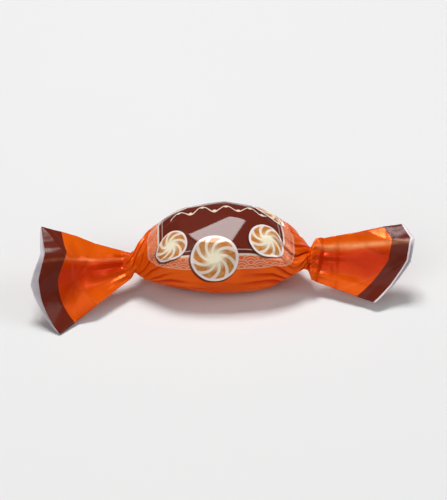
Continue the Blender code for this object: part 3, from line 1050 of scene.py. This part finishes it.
def printed_film(colours, rim):
    """Glossy film: orange ground with painted shade in its hollows, brown end stripes, and the panel with
    its swirls and lace; sharp ridges whitened by wear and given a painted highlight.
    """
    material, nodes = new_material("printed_film")
    place = nodes.add("ShaderNodeTexCoord", output="Object")
    flat = nodes.add("ShaderNodeUVMap", {"uv_map": PRINT_MAP})
    along = nodes.add("ShaderNodeSeparateXYZ", None, {0: flat})
    around = along.output("Y")
    slack, painted_shading, wear_and_highlight = (
        nodes.add("ShaderNodeAttribute", {"attribute_name": name}, output="Fac")
        for name in ("slack", "painted_shading", "wear_and_highlight")
    )
    beyond = beyond_panel(along, around)
    ground = film_ground(nodes, place, painted_shading, colours)
    body = body_print(nodes, place, along, around, beyond, ground, colours)

    to_rim = rim - abs(along)
    on_right = along.math("GREATER_THAN", 0.0)
    stripe_width = LEFT_STRIPE + (RIGHT_STRIPE - LEFT_STRIPE) * on_right
    stripe = (to_rim - stripe_width).ramp(*STRIPE_EDGE)
    striped = nodes.blend(body, colours.brown, stripe)
    scuffs = nodes.noise(place, scale=380.0, detail=3.0).ramp(*SCUFF_RANGE)
    # Wear along sharp ridges, with a painted highlight on the same lines: a pale orange, varied by scuffs
    worn_highlit = wear_and_highlight * (LEAST_WORN_HIGHLIT + scuffs * SCUFF_WORN_HIGHLIT) * (1 - stripe * STRIPE_HOLD)
    whitened_and_highlit = nodes.blend(striped, WORN_HIGHLIGHT_ORANGE, worn_highlit)
    edged = nodes.blend(whitened_and_highlit, CUT_WHITE, to_rim.ramp(*CUT_EDGE))

    panel = beyond.ramp(*PANEL_EDGE)
    fine = nodes.noise(place, scale=1300.0, detail=3.0, rough=0.6)
    broad = nodes.noise(place, scale=420.0)
    height = (fine * FINE_SHARE + broad) * (slack * (1 - TAUT_SHARE) + TAUT_SHARE)
    shader_values = {
        "Base Color": edged,
        "Metallic": (1 - panel.most(stripe)) * GROUND_METAL,
        "Roughness": 0.17 + nodes.noise(place, scale=700.0, detail=3.0) * 0.10,
        "Normal": nodes.bump(strength=0.30, distance=0.00012, height=height),
        "IOR": 1.5,
        "Specular IOR Level": FILM_SPECULAR,
        "Coat Weight": panel * PANEL_COAT + stripe * STRIPE_COAT + LEAST_COAT,
        "Coat Roughness": COAT_ROUGHNESS,
    }
    nodes.surface(shader_values)
    return material


def inner_film(colours):
    """The film's unprinted white inner side, a little satin."""
    material, nodes = new_material("inner_film")
    place = nodes.add("ShaderNodeTexCoord", output="Object")
    shade = nodes.noise(place, scale=240.0).ramp(*INNER_RANGE)
    creased = nodes.noise(place, scale=500.0, detail=3.0)
    shader_values = {
        "Base Color": nodes.blend(colours.inner, INNER_GREY, shade),
        "Roughness": 0.34 + nodes.noise(place, scale=600.0) * 0.12,
        "Normal": nodes.bump(strength=0.3, distance=0.0001, height=creased),
        "Specular IOR Level": 0.5,
    }
    nodes.surface(shader_values)
    return material


def crinkle_tree():
    """Moves loose film by a fine noise, and gives each side of the film its material."""
    tree = bpy.data.node_groups.new("Crinkle", "GeometryNodeTree")
    inputs = {
        "Geometry": "NodeSocketGeometry",
        "Height": "NodeSocketFloat",
        "Size": "NodeSocketFloat",
        "Seed": "NodeSocketInt",
        "Printed side": "NodeSocketMaterial",
        "Inner side": "NodeSocketMaterial",
    }
    for name, kind in inputs.items():
        tree.interface.new_socket(name, in_out="INPUT", socket_type=kind)
    tree.interface.new_socket("Geometry", in_out="OUTPUT", socket_type="NodeSocketGeometry")

    nodes = Nodes(tree)
    given = nodes.add("NodeGroupInput")
    slack = nodes.add("GeometryNodeInputNamedAttribute", {"data_type": "FLOAT"}, {"Name": "slack"})
    inside = nodes.add("GeometryNodeInputNamedAttribute", {"data_type": "INT"}, {"Name": "inside"})
    noise_values = {
        "W": given.output("Seed"),
        "Scale": 1.0 / given.output("Size"),
        "Detail": 2.5,
        "Roughness": 0.5,
    }
    noise = nodes.add("ShaderNodeTexNoise", {"noise_dimensions": "4D"}, noise_values, output="Color")
    centred_values = {0: noise, 1: (0.5, 0.5, 0.5)}
    centred = nodes.add("ShaderNodeVectorMath", {"operation": "SUBTRACT"}, centred_values)
    offset_values = {0: centred, "Scale": given.output("Height") * slack * CRINKLE_GAIN}
    offset = nodes.add("ShaderNodeVectorMath", {"operation": "SCALE"}, offset_values)
    moved = nodes.add("GeometryNodeSetPosition", None, {"Geometry": given, "Offset": offset})
    real = nodes.add("GeometryNodeRealizeInstances", None, {"Geometry": moved})
    printed_values = {"Geometry": real, "Material": given.output("Printed side")}
    printed = nodes.add("GeometryNodeSetMaterial", None, printed_values)
    lined_values = {"Geometry": printed, "Selection": inside, "Material": given.output("Inner side")}
    lined = nodes.add("GeometryNodeSetMaterial", None, lined_values)
    nodes.add("NodeGroupOutput", None, {"Geometry": lined})
    return tree


def crinkled(data, sizes, printed, inner):
    """A plain mesh of the film after the crinkle tree."""
    piece = add_object("film_blank", data)
    tree = crinkle_tree()
    modifier = piece.modifiers.new("Crinkle", "NODES")
    modifier.node_group = tree
    wanted = {
        "Height": sizes.crinkle_height,
        "Size": sizes.crinkle_size,
        "Seed": sizes.crinkle_seed,
        "Printed side": printed,
        "Inner side": inner,
    }
    for item in tree.interface.items_tree:
        if item.in_out == "INPUT" and item.name in wanted:
            modifier[item.identifier] = wanted[item.name]
    graph = bpy.context.evaluated_depsgraph_get()
    made = bpy.data.meshes.new_from_object(
        piece.evaluated_get(graph), preserve_all_data_layers=True, depsgraph=graph
    )
    bpy.data.objects.remove(piece)
    return made


class SWEET_OT_wrapper(Operator):
    """Make the wrapper's film, with its pleats, fans and print"""

    bl_idname = "sweet.wrapper"
    bl_label = "Wrapper"

    def execute(self, context):
        sizes = context.scene.sweet_sizes
        colours = context.scene.sweet_colours
        data = make_film_mesh(Film(sizes))
        places = np.empty(len(data.loops) * 2, np.float32)
        data.uv_layers[PRINT_MAP].data.foreach_get("uv", places)
        rim = float(abs(places[::2]).max())
        made = crinkled(data, sizes, printed_film(colours, rim), inner_film(colours))
        if len(made.polygons) < LEAST_FACES:
            raise RuntimeError("The wrapper's mesh came out empty")
        wrapper = add_object("wrapper", made)
        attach(wrapper, "root")
        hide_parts(NODE)
        return {"FINISHED"}


def make_floor(colour):
    """A plain pale floor."""
    data = bpy.data.meshes.new("floor")
    half = FLOOR_HALF_SIZE
    corners = [(-half, -half, 0), (half, -half, 0), (half, half, 0), (-half, half, 0)]
    data.from_pydata(corners, [], [(0, 1, 2, 3)])
    material, nodes = new_material("floor")
    place = nodes.add("ShaderNodeTexCoord", output="Object")
    duller = tuple(FLOOR_SHADE * part for part in colour[:3]) + (1.0,)
    mottled = nodes.blend(colour, duller, nodes.noise(place, scale=9.0))
    nodes.surface({"Base Color": mottled, "Roughness": 0.75})
    data.materials.append(material)
    return add_object("floor", data)


def make_world():
    """An even white studio."""
    world = bpy.data.worlds.new("studio")
    world.use_nodes = True
    background = world.node_tree.nodes["Background"]
    background.inputs["Color"].default_value = (1.0, 1.0, 1.0, 1.0)
    background.inputs["Strength"].default_value = WORLD_STRENGTH
    bpy.context.scene.world = world


def make_soft_box(name, place, width, depth, power):
    """A soft box that faces the sweet."""
    light = bpy.data.lights.new(name, "AREA")
    light.shape = "RECTANGLE"
    light.size = width
    light.size_y = depth
    light.energy = power
    lamp = add_object(name, light)
    lamp.location = place
    lamp.rotation_euler = (Vector(LIT_PLACE) - Vector(place)).to_track_quat("-Z", "Y").to_euler()


def make_camera(settings):
    """A camera that looks down on the sweet's front."""
    camera = bpy.data.cameras.new("camera")
    camera.sensor_fit = "HORIZONTAL"
    camera.sensor_width = SENSOR_WIDTH
    camera.lens = SENSOR_WIDTH * settings.distance / VIEW_WIDTH
    eye = add_object("camera", camera)
    level = math.cos(settings.elevation)
    aside, forward = math.sin(settings.azimuth), math.cos(settings.azimuth)
    out = Vector((-aside * level, -forward * level, math.sin(settings.elevation)))
    eye.location = Vector(VIEW_TARGET) + out * settings.distance
    eye.rotation_euler = (-out).to_track_quat("-Z", "Y").to_euler()
    bpy.context.scene.camera = eye


class SWEET_OT_stage(Operator):
    """Make the floor, the lights and the camera"""

    bl_idname = "sweet.stage"
    bl_label = "Stage"

    def execute(self, context):
        settings = context.scene.sweet_stage
        make_floor(settings.floor)
        make_world()
        for name, place, width, depth, power, share in SOFT_BOXES:
            make_soft_box(name, place, width, depth, getattr(settings, power) * share)
        make_camera(settings)
        context.scene.view_settings.view_transform = "Standard"
        return {"FINISHED"}


class SWEET_PT_panel(Panel):
    """The sweet's pieces, in the order in which they are made"""

    bl_idname = "SWEET_PT_panel"
    bl_label = "Wrapped sweet"
    bl_space_type = "VIEW_3D"
    bl_region_type = "UI"
    bl_category = "Sweet"

    def draw(self, context):
        for operator in OPERATORS:
            self.layout.operator(operator.bl_idname)
        for group in ("sweet_sizes", "sweet_colours", "sweet_stage"):
            settings = getattr(context.scene, group)
            for name in settings.__annotations__:
                self.layout.prop(settings, name)


OPERATORS = (SWEET_OT_wrapper, SWEET_OT_stage)
GROUPS = {"sweet_sizes": FilmSizes, "sweet_colours": FilmColours, "sweet_stage": StageSettings}


def register():
    for group in (*GROUPS.values(), *OPERATORS, SWEET_PT_panel):
        bpy.utils.register_class(group)
    for name, group in GROUPS.items():
        setattr(bpy.types.Scene, name, PointerProperty(type=group))


def unregister():
    for name in GROUPS:
        delattr(bpy.types.Scene, name)
    for group in (SWEET_PT_panel, *OPERATORS[::-1], *GROUPS.values()):
        bpy.utils.unregister_class(group)


def main():
    register()
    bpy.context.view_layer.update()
    bpy.ops.sweet.wrapper()
    bpy.ops.sweet.stage()


if __name__ == "__main__":
    main()
